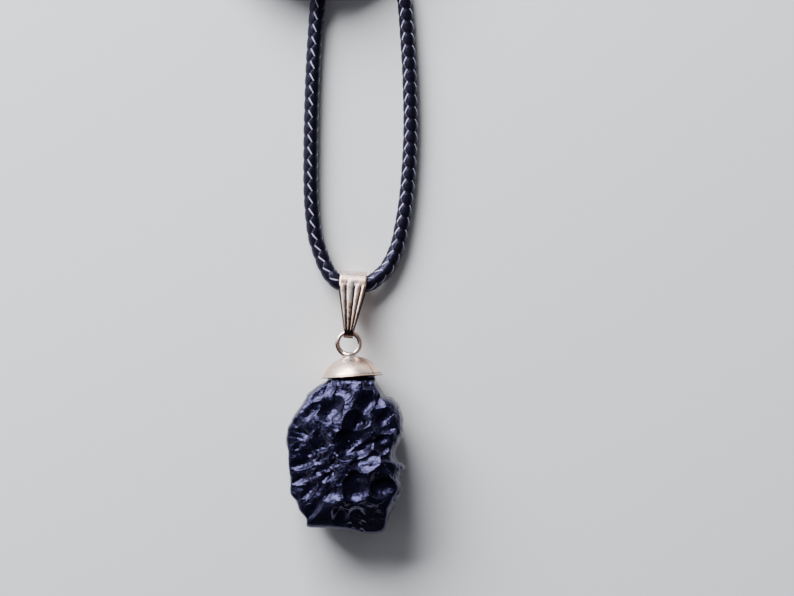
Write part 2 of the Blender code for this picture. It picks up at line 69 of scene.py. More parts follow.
# Camera: the middle of the photo's frame and its width, both at the level of the pendant's front
VIEW_CENTRE = (6.26, 5.91)
VIEW_WIDTH = 103.1
VIEW_LEVEL = 4.0
CAMERA_HEIGHT = 500.0
SENSOR = 36.0

# Cord: the route's plan points and how far each is lifted from the surface into the bail
CORD_RADIUS = 1.025
CORD_REST = 1.035
CORD_IN_BAIL = 1.74
CORD_ROUTE = (
    (-4.06, 44.60, 0.0), (-4.45, 40.00, 0.0), (-4.75, 34.70, 0.0),
    (-4.97, 27.20, 0.0), (-4.97, 19.80, 0.0), (-4.55, 14.80, 0.0), (-3.92, 12.30, 0.0),
    (-2.85, 9.62, 0.45), (-1.42, 7.98, 1.0), (0.60, 7.64, 1.0), (2.48, 7.74, 1.0),
    (3.66, 8.52, 0.65), (4.96, 9.78, 0.2), (6.21, 12.30, 0.0), (6.84, 14.80, 0.0),
    (7.60, 19.80, 0.0), (8.06, 27.20, 0.0), (7.95, 34.70, 0.0), (7.65, 40.00, 0.0),
    (7.30, 44.60, 0.0), (6.75, 48.20, 0.0), (6.05, 51.90, 0.0), (5.50, 55.30, 0.0),
)
PLACE_IN_BAIL = CORD_ROUTE[9]
LEFT_LEAD = ((2.25, 54.90), (1.05, 53.10), (-0.45, 51.20), (-2.15, 49.20), (-3.45, 47.00))
COIL_CENTRE = (-6.5, 59.2)
COIL_MEAN_RADIUS = 10.8
# The coil's strands run side by side: where each starts and ends in degrees, and where they climb a layer
INNER_TURNS = (-12.0, 780.0)
OUTER_TURNS = (0.0, 800.0)
COIL_STEP = 10.0
CLIMB_START = 205.0
CLIMB_LENGTH = 70.0
# From each end's last turn over the coil's edge, measured from the coil's centre
LEAVING = (
    ((1.69, 9.60, 5.13), (-0.90, 9.35, 5.13), (-2.65, 8.65, 5.06)),
    ((-0.82, 11.80, 5.14), (-3.54, 10.89, 5.14), (-5.67, 9.07, 5.15), (-6.77, 7.01, 5.15),
     (-6.85, 5.50, 5.10)),
)
CORD_CURVE_STEPS = 10
CORD_SPACING = 0.2
CORD_SIDES = 24
# Braid: four seams run along the cord as zigzags, each half a pitch from the next and its mirror image
BRAID_PITCH = 1.60
BRAID_DEPTH = 0.13
ZIGZAG_REACH = 0.18
ZIGZAG_LONG_SHARE = 0.58
QUARTER_ARC = 0.5 * math.pi * CORD_RADIUS
SEAM_JOINS = (0.46, 0.04)
JOIN_WIDTH = 0.40
JOIN_HEIGHT = 0.45
# Inside the bail the cord turns by half a column, over this length
TWIST_LENGTH = 3.0

# Knot in the coil's middle: each end's way through it to its short tail, measured from the coil's centre, and
# the turns that both ends take round themselves
END_ROUTES = (
    ((-4.00, 7.30, 4.90), (-4.30, 5.60, 4.40), (-3.70, 4.00, 3.80), (-2.60, 2.60, 3.30),
     (-1.21, 1.23, 3.07), (0.91, -0.89, 3.07), (3.03, -3.01, 3.07), (4.40, -4.10, 2.30), (5.40, -4.60, 1.50)),
    ((-6.30, 4.20, 4.90), (-5.20, 2.60, 4.10), (-4.00, 1.20, 3.40), (-2.63, -0.19, 3.07),
     (-0.51, -2.31, 3.07), (1.61, -4.43, 3.07), (2.30, -5.60, 2.30), (2.50, -6.70, 1.40)),
)
KNOT_PLACE = (0.20, -1.60, 3.07)
KNOT_HEADING = math.radians(-45)
KNOT_TURN_SIZE = (2.95, 1.98)
KNOT_TURN_SLANT = 0.9
KNOT_TURN_PITCHES = 10
KNOT_STEPS_ROUND = 100

# Stone: its heart is a point inside from which the whole surface can be seen
STONE_HEART = (-0.30, -14.60, 4.60)
STONE_FRONT = 5.05
STONE_BACK = 4.70
STONE_FULLNESS = 3.6
STONE_DETAIL = 97
STONE_OUTLINE_STEPS = 6
# Farther from the heart than any part of the stone
FAR = 99.0
CREST_ROUNDING = 0.10
EDGE_ROUNDING = 0.35
HOLLOW_WANDER = 0.035
HOLLOW_LEAN = (-0.07, 0.22, 0.0)
NECK_SPREAD = 3.0
STONE_OUTLINE = (
    (0.40, -2.60), (-1.60, -3.05), (-2.75, -4.10), (-3.45, -4.95), (-5.13, -6.30), (-5.80, -7.40),
    (-6.47, -8.37), (-7.24, -9.50), (-7.88, -10.63), (-8.20, -12.46), (-7.98, -13.86), (-7.82, -16.00),
    (-7.64, -18.09), (-7.60, -19.50), (-6.82, -20.55), (-6.40, -21.61), (-5.55, -22.74), (-5.41, -23.70),
    (-4.00, -23.86), (-2.17, -23.93), (0.08, -24.15), (1.77, -24.54), (3.81, -24.60), (4.66, -24.08),
    (5.22, -22.46), (6.10, -20.90), (6.75, -20.06), (7.05, -18.93), (6.80, -17.53), (6.91, -16.68),
    (7.42, -16.19), (7.22, -15.63), (6.40, -14.99), (6.25, -14.30), (6.49, -13.16), (7.05, -12.17),
    (7.19, -10.48), (6.98, -9.08), (6.49, -7.81), (5.57, -6.96), (4.62, -6.60), (4.30, -5.84),
    (3.60, -4.70), (3.30, -3.90), (2.20, -3.05),
)
# Flat fracture faces: a point on the face, and how far it rises per millimetre along x and y
STONE_FACETS = (
    ((-1.30, -11.90, 9.25), 0.40, 0.03),
    ((-1.30, -11.90, 9.25), 0.27, -0.22),
    ((0.00, -21.30, 8.55), -0.05, 0.85),
    ((1.50, -9.50, 9.05), -0.04, -0.14),
    ((6.00, -13.00, 8.70), -0.85, 0.05),
    ((2.00, -14.00, -0.10), 0.16, -0.07),
)
# Hollows on the front, each by its place, its half width and half length, its turn in degrees and its depth
FRONT_HOLLOWS = (
    (-2.30, -8.60, 1.85, 1.80, 15, 0.75),
    (-4.90, -8.70, 1.60, 1.25, 35, 0.40),
    (-6.50, -10.10, 1.30, 1.00, 40, 0.40),
    (1.00, -9.95, 2.45, 1.60, -5, 0.95),
    (0.60, -13.10, 2.90, 2.70, -15, 1.50),
    (2.90, -15.40, 2.80, 1.30, 6, 0.70),
    (4.75, -9.80, 1.80, 2.30, 10, 0.95),
    (4.60, -13.25, 1.50, 1.70, 10, 0.80),
    (0.85, -18.90, 1.95, 2.10, 8, 1.05),
    (4.25, -18.50, 2.00, 1.75, 0, 1.05),
    (2.45, -5.40, 1.15, 1.05, -20, 0.60),
    (1.90, -7.50, 1.75, 1.15, 20, 0.60),
    (-0.90, -6.50, 1.35, 1.15, -15, 0.45),
    (0.40, -5.00, 1.10, 0.80, 10, 0.35),
    (-2.70, -5.70, 1.30, 0.95, 30, 0.40),
    (-4.20, -6.60, 1.10, 0.90, 40, 0.35),
    (3.90, -7.30, 1.10, 0.95, -30, 0.40),
    (1.75, -22.00, 1.70, 1.20, 30, 0.40),
    (-2.20, -19.80, 1.70, 1.20, 15, 0.40),
    (-5.80, -12.00, 1.50, 1.20, 20, 0.28),
    (-3.60, -13.20, 1.40, 1.30, -30, 0.28),
    (-5.50, -15.20, 1.60, 1.30, 10, 0.30),
    (-3.20, -16.60, 1.50, 1.20, 35, 0.28),
    (-5.60, -18.60, 1.50, 1.30, -15, 0.32),
    (-3.90, -21.50, 1.60, 1.10, 30, 0.40),
    (-0.60, -22.30, 1.20, 1.00, 0, 0.30),
    (4.40, -21.60, 1.30, 1.20, -20, 0.40),
)
SIDE_HOLLOW_COUNT = 30
SIDE_HOLLOW_SEED = 11
SIDE_HOLLOW_SIZES = (1.2, 2.4)
SIDE_HOLLOW_HEIGHTS = (-0.20, -0.86)
SIDE_HOLLOW_JITTER = 0.3
SIDE_HOLLOW_LENGTHS = (0.7, 1.0)
# Their depth as a share of their size: at the top, what is added lower down, and over how much height
SIDE_HOLLOW_DEPTHS = (0.08, 0.16, 0.30)
# Small pits on the front's left face, by plan place and size; their length and depth are shares of the size
PITS = (
    (-6.26, -11.05, 0.75), (-3.94, -11.26, 0.45), (-4.71, -11.90, 0.50), (-3.94, -12.67, 0.45),
    (-3.23, -13.44, 0.60), (-5.60, -14.10, 0.55), (-4.29, -14.50, 0.60), (-6.80, -13.30, 0.55),
    (-1.90, -15.10, 0.65), (-4.15, -16.90, 0.55), (-6.75, -17.70, 0.60), (-4.85, -18.70, 0.60),
    (-6.10, -18.60, 0.45), (-2.60, -20.20, 0.60), (-1.60, -19.10, 0.55), (-5.30, -16.00, 0.50),
    (-2.90, -17.30, 0.55), (-6.90, -15.40, 0.50), (-2.10, -16.60, 0.45), (-3.00, -15.50, 0.45),
    (-5.20, -12.90, 0.45), (-2.60, -18.50, 0.45), (-7.10, -11.90, 0.40), (-0.60, -17.60, 0.40),
)
PIT_SHAPE = (0.8, 0.42)
PIT_EDGE = 1.15
# Fine pits all over: the smallest size and how much is added at most, then lengths and depths as shares
FINE_PIT_COUNT = 420
FINE_PIT_SEED = 5
FINE_PIT_SIZES = (0.22, 0.35)
FINE_PIT_LENGTHS = (0.6, 1.0)
FINE_PIT_DEPTHS = (0.20, 0.45)
# Fine unevenness pressed into the whole skin: cells per millimetre and depth
STONE_UNEVEN = ((0.9, 0.17), (2.4, 0.055))
# The fresh break at the stone's lower end is smooth: where it starts along y, and how softly
FRESH_BREAK = (-20.7, 0.8)
FRESH_SMOOTHING = 0.85

# Bell cap and its ring
CAP_RIM_CENTRE = (0.48, -4.31)
CAP_TILT = math.radians(3.55)
CAP_RADIUS = 3.97
CAP_HEIGHT = 2.70
CAP_WALL = 0.40
CAP_GAP = 0.30
CAP_FILL = 0.97
CAP_SEGMENTS = 120
CAP_STEPS_OUTSIDE = 40
CAP_STEPS_INSIDE = 24
# The lip's section, out and up from the rim; its last two points face inward
CAP_LIP = (
    (-0.15, 0.31), (-0.07, 0.29), (0.0, 0.24), (0.035, 0.17), (0.03, 0.10), (-0.01, 0.04), (-0.08, 0.01),
    (-0.18, 0.0), (-0.30, 0.01),
)
RING_RADIUS = 1.45
RING_WIRE = 0.32
RING_STEPS = (96, 28)
# Toward its foot the wire grows by this share, over this much of the turn, and less so inward
RING_FOOT = (0.9, 0.20)
RING_FOOT_INWARD = 0.45
SOLDER_MIDDLE = 0.10
SOLDER_SPREAD = (0.62, 0.40)
SOLDER_RISE = 0.42
# Darkened patches, each by its middle and half width: in degrees round the cap and the ring, and in height
# along the cap's groove. The cap's shaded side and the ring's bands are painted shade, the cap's streak is a
# painted reflection, and the groove is tarnish deepened by painted shade
CAP_SHADED_SIDE = (330, 45)
CAP_REFLECTED_STREAK = (316, 5)
RING_SHADE_LOWER_LEFT = (212, 32)
RING_SHADE_UPPER_RIGHT = (28, 32)
RING_SHADE_FAR_RIGHT = (10, 40)
CAP_GROOVE = (0.33, 0.08)
CAP_LINING_PATINA = 0.8

# Bail
BAIL_LENGTH = 6.70
BAIL_TOP_RADII = (1.70, 1.45)
BAIL_FOOT_RADII = (0.77, 0.46)
BAIL_TOP_WIDTH = 3.45
BAIL_FOOT_WIDTH = 1.20
BAIL_TAPER_LENGTH = 6.0
BAIL_LEAN = math.radians(-4.46)
BAIL_SLOPE = math.radians(-21.7)
FLUTE_GROOVES = (-1.0, -0.48, 0.19, 0.72, 1.0)
FLUTE_STARTS = (5.6, 6.15, 5.75, 5.6)
FLUTE_HEIGHT = 0.16
FLUTE_ARCH = 2.2
# Each flute's rounded end: how much farther its middle reaches, how far it fades out and over what length
FLUTE_END = (0.35, 0.25, 0.45)
PLAIN_TOP_LEVEL = 0.75
GROOVE_EDGE = 0.62
BAIL_DETAIL = 12
BAIL_COLUMNS = 61
BAIL_EDGE_ROUNDING = (0.06, 0.07)
BAIL_LINING_PATINA = 0.9
# Tarnish below the bail's top, and the painted shade that the lower part and the foot add: how much, from
# where, how softly
BAIL_PATINA = 0.40
BAIL_SHADE_LOWER = (0.42, 5.4, 5.5)
BAIL_SHADE_FOOT = (0.5, 0.1, 0.4)

# Stone's glass: linear colours, roughness, and the bumps too fine for the mesh, each by its cells per
# millimetre, its strength and its depth
GLASS_COLOURS = ((0.0006, 0.0006, 0.0015), (0.008, 0.006, 0.024))
GLASS_REFLECTION = (0.50, 0.47, 1.0)
GLASS_ROUGHNESS = (0.08, 0.24)
GLASS_IOR = 1.62
GLASS_BUMPS = ((2.6, 0.9, 0.12), (8.0, 0.6, 0.03))
FRESH_ROUGHNESS = 0.16

# Brass: pale and coppery patches, and the dark colour laid over them for tarnish and for painted shade
BRASS_COLOURS = ((0.92, 0.82, 0.77), (0.86, 0.58, 0.44))
BRASS_ROUGHNESS = (0.24, 0.42)
TARNISH_AND_SHADE_COLOUR = (0.045, 0.032, 0.028)

# Cord: black threads with pale lines in the seams, partly wax and partly painted highlight, from this
# distance off the seam's middle to that
THREAD_COLOUR = (0.003, 0.0025, 0.006)
THREAD_REFLECTION = (0.60, 0.56, 1.0)
THREAD_SHEEN = (0.45, 0.40, 1.0)
THREAD_ROUGHNESS = (0.28, 0.46)
SEAM_WAX_AND_HIGHLIGHT_COLOUR = (0.62, 0.58, 0.78)
SEAM_WAX_AND_HIGHLIGHT_LINE = (0.03, 0.14)
# The pale line is strongest in each seam's long stroke, where the painted highlight falls: where that ends,
# how much more there is, and what is left
SEAM_HIGHLIGHT_END = (0.52, 0.64)
SEAM_WAX_AND_HIGHLIGHT_STRENGTH = (0.85, 0.10)

# Floor and softbox
FLOOR_COLOUR = (0.80, 0.80, 0.79)
FLOOR_REACH = 3000.0
FLOOR_DROP = 0.02
SOFTBOX_PLACE = (-225, 370, 265)
SOFTBOX_AIM = (0, -5, 0)
SOFTBOX_SIZE = (440, 280)
SOFTBOX_POWER = 8.5
SOFTBOX_COLOUR = (0.93, 0.95, 1.0)

# Light from all round: bright low down on the side that the photo's light comes from, dim overhead
LIGHT_SIDE = (-0.60, 0.80, 0.0)
WORLD_OVERHEAD = (0.10, 0.10, 0.115)
WORLD_FADE = (0.10, 0.70)
WORLD_SIDES = ((0.0, (0.03, 0.03, 0.035)), (0.50, (0.20, 0.20, 0.22)), (1.0, (1.80, 1.84, 1.95)))


def smooth_curve(points, samples):
    """Points along a smooth curve through the given ones."""
    points = np.array(points, float)
    ahead = np.vstack([2 * points[0] - points[1], points, 2 * points[-1] - points[-2]])
    curve = []
    for i in range(1, len(ahead) - 2):
        a, b, c, d = ahead[i - 1 : i + 3]
        for t in np.linspace(0, 1, samples, endpoint=False):
            curve.append(
                0.5 * (2 * b + (c - a) * t + (2 * a - 5 * b + 4 * c - d) * t**2
                       + (3 * b - a - 3 * c + d) * t**3)
            )
    curve.append(points[-1])
    return np.array(curve)


def even_steps(curve, step):
    """The same curve, with its points about one step apart."""
    length = np.concatenate([[0], np.cumsum(np.linalg.norm(np.diff(curve, axis=0), axis=1))])
    count = int(round(length[-1] / step))
    wanted = np.linspace(0, length[-1], count + 1)
    return np.column_stack([np.interp(wanted, length, curve[:, k]) for k in range(curve.shape[1])])


def ease(share):
    """From 0 to 1 with a soft start and end."""
    share = np.clip(share, 0.0, 1.0)
    return share * share * (3 - 2 * share)


def world(points):
    """From millimetres about the ring's centre to the frame's metres; heights are from the surface."""
    return (np.asarray(points, float) + np.array([RING_X, RING_Y, 0.0])) * MM


def grid_faces(rows, columns, close_rows=False, close_columns=False):
    """Four-sided faces between the points of a grid that is stored row by row."""
    i, j = np.meshgrid(np.arange(rows if close_rows else rows - 1),
                       np.arange(columns if close_columns else columns - 1), indexing="ij")
    k, m = (i + 1) % rows, (j + 1) % columns
    faces = np.stack([i * columns + j, i * columns + m, k * columns + m, k * columns + j], axis=-1)
    return faces.reshape(-1, 4).tolist()


def make_piece(name, points, faces, body, material, turn_out=True):
    """A smooth mesh from points in millimetres about the ring's centre."""
    mesh = bpy.data.meshes.new(name)
    mesh.from_pydata(world(points).tolist(), [], faces)
    if turn_out:
        tidy = bmesh.new()
        tidy.from_mesh(mesh)
        bmesh.ops.recalc_face_normals(tidy, faces=tidy.faces)
        tidy.to_mesh(mesh)
        tidy.free()
    mesh.shade_smooth()
    mesh.materials.append(material)
    piece = bpy.data.objects.new(name, mesh)
    bpy.context.scene.collection.objects.link(piece)
    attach(piece, body)
    return piece


def add_values(piece, name, values):
    """A value for each point of a piece, which its material reads by name."""
    attribute = piece.data.attributes.new(name, "FLOAT", "POINT")
    attribute.data.foreach_set("value", np.asarray(values, np.float32))


def new_material(name, colour, roughness, metallic):
    """A material, its nodes and its shader."""
    material = bpy.data.materials.new(name)
    material.use_nodes = True
    shader = material.node_tree.nodes["Principled BSDF"]
    shader.inputs["Base Color"].default_value = (*colour, 1.0)
    shader.inputs["Roughness"].default_value = roughness
    shader.inputs["Metallic"].default_value = metallic
    return material, material.node_tree, shader


def add_node(tree, kind, links=(), **settings):
    """A node, with its inputs linked to sockets or set to numbers, by input name."""
    node = tree.nodes.new(kind)
    for name, value in settings.items():
        setattr(node, name, value)
    for name, value in dict(links).items():
        if isinstance(value, bpy.types.NodeSocket):
            tree.links.new(value, node.inputs[name])
        else:
            node.inputs[name].default_value = value
    return node


def noise(tree, scale, detail=3.0, roughness=0.5):
    """A noise pattern over the piece; scale is in cells per millimetre."""
    place = tree.nodes.new("ShaderNodeTexCoord").outputs["Object"]
    node = add_node(tree, "ShaderNodeTexNoise", {"Vector": place, "Scale": scale / MM, "Detail": detail,
                                                 "Roughness": roughness})
    return node.outputs["Fac"]


def ramp(tree, factor, stops):
    """A colour or grey ramp through (place, colour) stops."""
    node = tree.nodes.new("ShaderNodeValToRGB")
    tree.links.new(factor, node.inputs["Fac"])
    elements = node.color_ramp.elements
    while len(elements) < len(stops):
        elements.new(0.5)
    for element, (place, colour) in zip(elements, stops):
        element.position = place
        element.color = (*colour, 1.0) if len(colour) == 3 else colour
    return node.outputs["Color"]


def greys(tree, factor, places, levels):
    """A grey ramp between two levels, at two places."""
    return ramp(tree, factor, [(place, (level,) * 3) for place, level in zip(places, levels)])


def bump(tree, shader, heights):
    """Stacks bumps on the shader's normal: each is a height socket, its strength and its depth in mm."""
    normal = None
    for height, strength, depth in heights:
        links = {"Height": height, "Strength": strength, "Distance": depth * MM}
        if normal:
            links["Normal"] = normal
        normal = add_node(tree, "ShaderNodeBump", links).outputs["Normal"]
    tree.links.new(normal, shader.inputs["Normal"])


def piece_value(tree, name):
    """The piece's own value at each point, by name."""
    return add_node(tree, "ShaderNodeAttribute", attribute_name=name).outputs["Fac"]


def math_node(tree, operation, *inputs):
    """A calculation on sockets and numbers."""
    return add_node(tree, "ShaderNodeMath", dict(enumerate(inputs)), operation=operation).outputs[0]


def fade(tree, amount, start, end):
    """1 below start, 0 above end, with a soft change between."""
    return add_node(tree, "ShaderNodeMapRange", {"Value": amount, "From Min": start, "From Max": end,
                                                 "To Min": 1.0, "To Max": 0.0},
                    interpolation_type="SMOOTHSTEP").outputs["Result"]


def mixed(tree, share, first, second):
    """A mix of two colours, each a socket or a plain colour."""
    node = add_node(tree, "ShaderNodeMix", data_type="RGBA")
    for name, content in (("Factor", share), ("A", first), ("B", second)):
        socket = node.inputs[name]
        if isinstance(content, bpy.types.NodeSocket):
            tree.links.new(content, socket)
        else:
            socket.default_value = (*content, 1.0)
    return node.outputs["Result"]


def stone_material():
    """Black glass, matt in patches and smoother on the fresh break."""
    material, tree, shader = new_material("black_tektite_glass", (0.003, 0.003, 0.006), 0.12, 0.0)
    shader.inputs["IOR"].default_value = GLASS_IOR
    shader.inputs["Specular Tint"].default_value = (*GLASS_REFLECTION, 1.0)
    glossy = greys(tree, noise(tree, 0.9, 4.0), (0.35, 0.70), GLASS_ROUGHNESS)
    fresh = piece_value(tree, "fracture")
    tree.links.new(mixed(tree, fresh, glossy, (FRESH_ROUGHNESS,) * 3), shader.inputs["Roughness"])
    tint = ramp(tree, noise(tree, 1.6, 4.0, 0.7), list(zip((0.45, 0.80), GLASS_COLOURS)))
    tree.links.new(tint, shader.inputs["Base Color"])
    uneven = math_node(tree, "MULTIPLY_ADD", fresh, -FRESH_SMOOTHING, 1.0)
    bump(tree, shader, [
        (math_node(tree, "MULTIPLY", noise(tree, scale, 4.0, 0.55), uneven), strength, depth)
        for scale, strength, depth in GLASS_BUMPS
    ])
    return material


def brass_material():
    """Worn brass plate, dark where a piece's own value for tarnish and painted shade is high."""
    material, tree, shader = new_material("antique_brass_plate", (0.60, 0.42, 0.30), 0.24, 1.0)
    mottle = noise(tree, 2.2, 4.0, 0.6)
    worn = math_node(tree, "MULTIPLY_ADD", mottle, -0.35, 0.0)
    # Darker where the piece's value for tarnish and painted shade is high
    dark = math_node(tree, "MULTIPLY_ADD", piece_value(tree, "patina_and_shade"), 1.35, worn)
    warm = ramp(tree, noise(tree, 0.45, 3.0), list(zip((0.34, 0.57), BRASS_COLOURS)))
    tree.links.new(mixed(tree, math_node(tree, "MAXIMUM", dark, 0.0), warm, TARNISH_AND_SHADE_COLOUR),
                   shader.inputs["Base Color"])
    tree.links.new(greys(tree, mottle, (0.3, 0.75), BRASS_ROUGHNESS), shader.inputs["Roughness"])
    bump(tree, shader, [(noise(tree, 5.0, 3.0), 0.15, 0.03)])
    return material


def cord_material():
    """Black waxed threads, with pale lines in the zigzag seams, partly wax and partly painted highlight,
    strongest in each seam's long stroke.
    """
    material, tree, shader = new_material("black_waxed_braid", (0.006, 0.005, 0.012), 0.4, 0.0)
    shader.inputs["Specular Tint"].default_value = (*THREAD_REFLECTION, 1.0)
    shader.inputs["Specular IOR Level"].default_value = 0.35
    shader.inputs["Sheen Weight"].default_value = 0.04
    shader.inputs["Sheen Roughness"].default_value = 0.35
    shader.inputs["Sheen Tint"].default_value = (*THREAD_SHEEN, 1.0)
    turn = math_node(tree, "ARCTAN2", piece_value(tree, "round_sin"), piece_value(tree, "round_cos"))
    quarter = math_node(tree, "MULTIPLY", turn, 2 / math.pi)
    seam = math_node(tree, "ROUND", quarter)
    phase = math_node(tree, "ARCTAN2", piece_value(tree, "along_sin"), piece_value(tree, "along_cos"))
    odd = math_node(tree, "FLOORED_MODULO", seam, 2.0)
    ahead = math_node(tree, "MULTIPLY", odd, 0.5)
    share = math_node(tree, "FRACT", math_node(tree, "MULTIPLY_ADD", phase, 0.5 / math.pi, ahead))
    even = math_node(tree, "SUBTRACT", 1.0, odd)
    share = math_node(tree, "ABSOLUTE", math_node(tree, "SUBTRACT", even, share))
    rising = math_node(tree, "DIVIDE", share, ZIGZAG_LONG_SHARE)
    falling = math_node(tree, "DIVIDE", math_node(tree, "SUBTRACT", 1.0, share), 1 - ZIGZAG_LONG_SHARE)
    zigzag = math_node(tree, "MULTIPLY_ADD", math_node(tree, "MINIMUM", rising, falling), 2.0, -1.0)
    off = math_node(tree, "SUBTRACT", math_node(tree, "SUBTRACT", quarter, seam),
                    math_node(tree, "MULTIPLY", zigzag, ZIGZAG_REACH))
    distance = math_node(tree, "MULTIPLY", math_node(tree, "ABSOLUTE", off), QUARTER_ARC)
    # Painted highlight: each seam's long stroke, which faces the light, gets a much paler line than its
    # return stroke
    strength = math_node(tree, "MULTIPLY_ADD", fade(tree, share, *SEAM_HIGHLIGHT_END), *SEAM_WAX_AND_HIGHLIGHT_STRENGTH)
    patchy = greys(tree, noise(tree, 2.5, 3.0, 0.7), (0.30, 0.60), (0.35, 1.0))
    line = math_node(tree, "MULTIPLY", fade(tree, distance, *SEAM_WAX_AND_HIGHLIGHT_LINE),
                     math_node(tree, "MULTIPLY", strength, patchy))
    tree.links.new(mixed(tree, line, THREAD_COLOUR, SEAM_WAX_AND_HIGHLIGHT_COLOUR), shader.inputs["Base Color"])
    rough = greys(tree, noise(tree, 3.0, 3.0), (0.3, 0.7), THREAD_ROUGHNESS)
    tree.links.new(rough, shader.inputs["Roughness"])
    bump(tree, shader, [(noise(tree, 9.0, 2.0), 0.25, 0.04)])
    return material


def add_camera():
    data = bpy.data.cameras.new("photo_camera")
    data.sensor_width = SENSOR
    data.lens = SENSOR * (CAMERA_HEIGHT - VIEW_LEVEL) / VIEW_WIDTH
    data.clip_start = 0.01
    camera = bpy.data.objects.new("photo_camera", data)
    bpy.context.scene.collection.objects.link(camera)
    camera.location = world([*VIEW_CENTRE, CAMERA_HEIGHT])
    bpy.context.scene.camera = camera


def coil_turns(radius, start, end):
    """One strand's turns: along the surface, then up a layer just before each turn is whole."""
    points = []
    for degrees in np.arange(start, end, COIL_STEP):
        turn, rest = divmod(degrees - CLIMB_START, 360.0)
        layer = turn + ease(rest / CLIMB_LENGTH) if degrees >= CLIMB_START else 0.0
        angle = math.radians(degrees)
        points.append((COIL_CENTRE[0] + radius * math.cos(angle), COIL_CENTRE[1] + radius * math.sin(angle),
                       CORD_REST + layer * 2 * CORD_RADIUS))
    return points


def cord_line():
    """The cord's whole middle line, from one tail through the knot, the coil and the bail to the other."""
    inner, outer = COIL_MEAN_RADIUS - CORD_RADIUS, COIL_MEAN_RADIUS + CORD_RADIUS
    ends = [[(x + COIL_CENTRE[0], y + COIL_CENTRE[1], z) for x, y, z in leaving + route]
            for leaving, route in zip(LEAVING, END_ROUTES)]
    lead = [(x, y, CORD_REST) for x, y in LEFT_LEAD]
    middle = [(x, y, CORD_REST + (CORD_IN_BAIL - CORD_REST) * lift) for x, y, lift in CORD_ROUTE]
    left = lead[::-1] + coil_turns(inner, *INNER_TURNS) + ends[0]
    right = coil_turns(outer, *OUTER_TURNS) + ends[1]
    return even_steps(smooth_curve(left[::-1] + middle + right, CORD_CURVE_STEPS), CORD_SPACING)


def carried_frames(line):
    """Two side directions at each point of a line, carried along it without twist."""
    ahead = np.gradient(line, axis=0)
    ahead /= np.linalg.norm(ahead, axis=1)[:, None]
    first = np.zeros_like(line)
    side = np.array([0.0, 0.0, 1.0])
    for i, direction in enumerate(ahead):
        side = side - direction * np.dot(side, direction)
        side /= np.linalg.norm(side)
        first[i] = side
    return first, np.cross(ahead, first)


def braid(turn, along):
    """Height of a braided cord's surface, 0 to 1: four columns of rounded lobes between zigzag seams."""
    quarter = turn / (0.5 * math.pi)
    pitch = along / BRAID_PITCH
    seam = np.round(quarter)
    share = np.abs(1 - seam % 2 - (pitch + 0.5 * (seam % 2)) % 1)
    zigzag = 2 * np.minimum(share / ZIGZAG_LONG_SHARE, (1 - share) / (1 - ZIGZAG_LONG_SHARE)) - 1
    from_seam = np.abs(quarter - seam - ZIGZAG_REACH * zigzag)
    join = pitch - np.where(np.floor(quarter) % 2 < 0.5, *SEAM_JOINS)
    from_join = np.abs((join + 0.5) % 1 - 0.5) * BRAID_PITCH
    dome = np.sqrt(np.clip(1 - (1 - 2 * np.minimum(from_seam, 0.5)) ** 4, 0, 1))
    return dome * (JOIN_HEIGHT + (1 - JOIN_HEIGHT) * ease(from_join / JOIN_WIDTH))


def braided_tube(line, first, second, along, twist):
    """Points of a braided cord round a line, row by row, with each one's place in the braid's pattern."""
    turn = np.linspace(0, 2 * math.pi, CORD_SIDES, endpoint=False)
    turns, alongs = np.meshgrid(turn, along)
    pattern = turns - twist[:, None]
    radius = CORD_RADIUS - BRAID_DEPTH * (1 - braid(pattern, alongs))
    out = np.cos(turns)[..., None] * first[:, None, :] + np.sin(turns)[..., None] * second[:, None, :]
    points = line[:, None, :] + radius[..., None] * out
    phase = 2 * math.pi * alongs / BRAID_PITCH
    places = np.stack([np.cos(pattern), np.sin(pattern), np.cos(phase), np.sin(phase)], axis=-1)
    return points.reshape(-1, 3), places.reshape(-1, 4)


def add_places(piece, places):
    """Each point's place in the braid's pattern, for the cord's material."""
    for name, values in zip(("round_cos", "round_sin", "along_cos", "along_sin"), places.T):
        add_values(piece, name, values)


def add_cord(material):
    line = cord_line()
    first, second = carried_frames(line)
    count = len(line)
    in_bail = int(np.argmin(np.hypot(line[:, 0] - PLACE_IN_BAIL[0], line[:, 1] - PLACE_IN_BAIL[1])))
    # One seam faces up on the left strand, and two seams show on the right one
    upright = math.atan2(second[in_bail, 2], first[in_bail, 2])
    passed = (np.arange(count) - in_bail) * CORD_SPACING
    twist = upright + 0.25 * math.pi * ease(0.5 + passed / TWIST_LENGTH)
    points, places = braided_tube(line, first, second, np.arange(count) * CORD_SPACING, twist)
    faces = grid_faces(count, CORD_SIDES, close_columns=True)
    faces.append(list(range(CORD_SIDES))[::-1])
    faces.append(list(range((count - 1) * CORD_SIDES, count * CORD_SIDES)))
    piece = make_piece("braided_cord", points, faces, CORD_BODY, material)
    add_places(piece, places)
    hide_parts("cord", "cord_coil")
    return piece, line


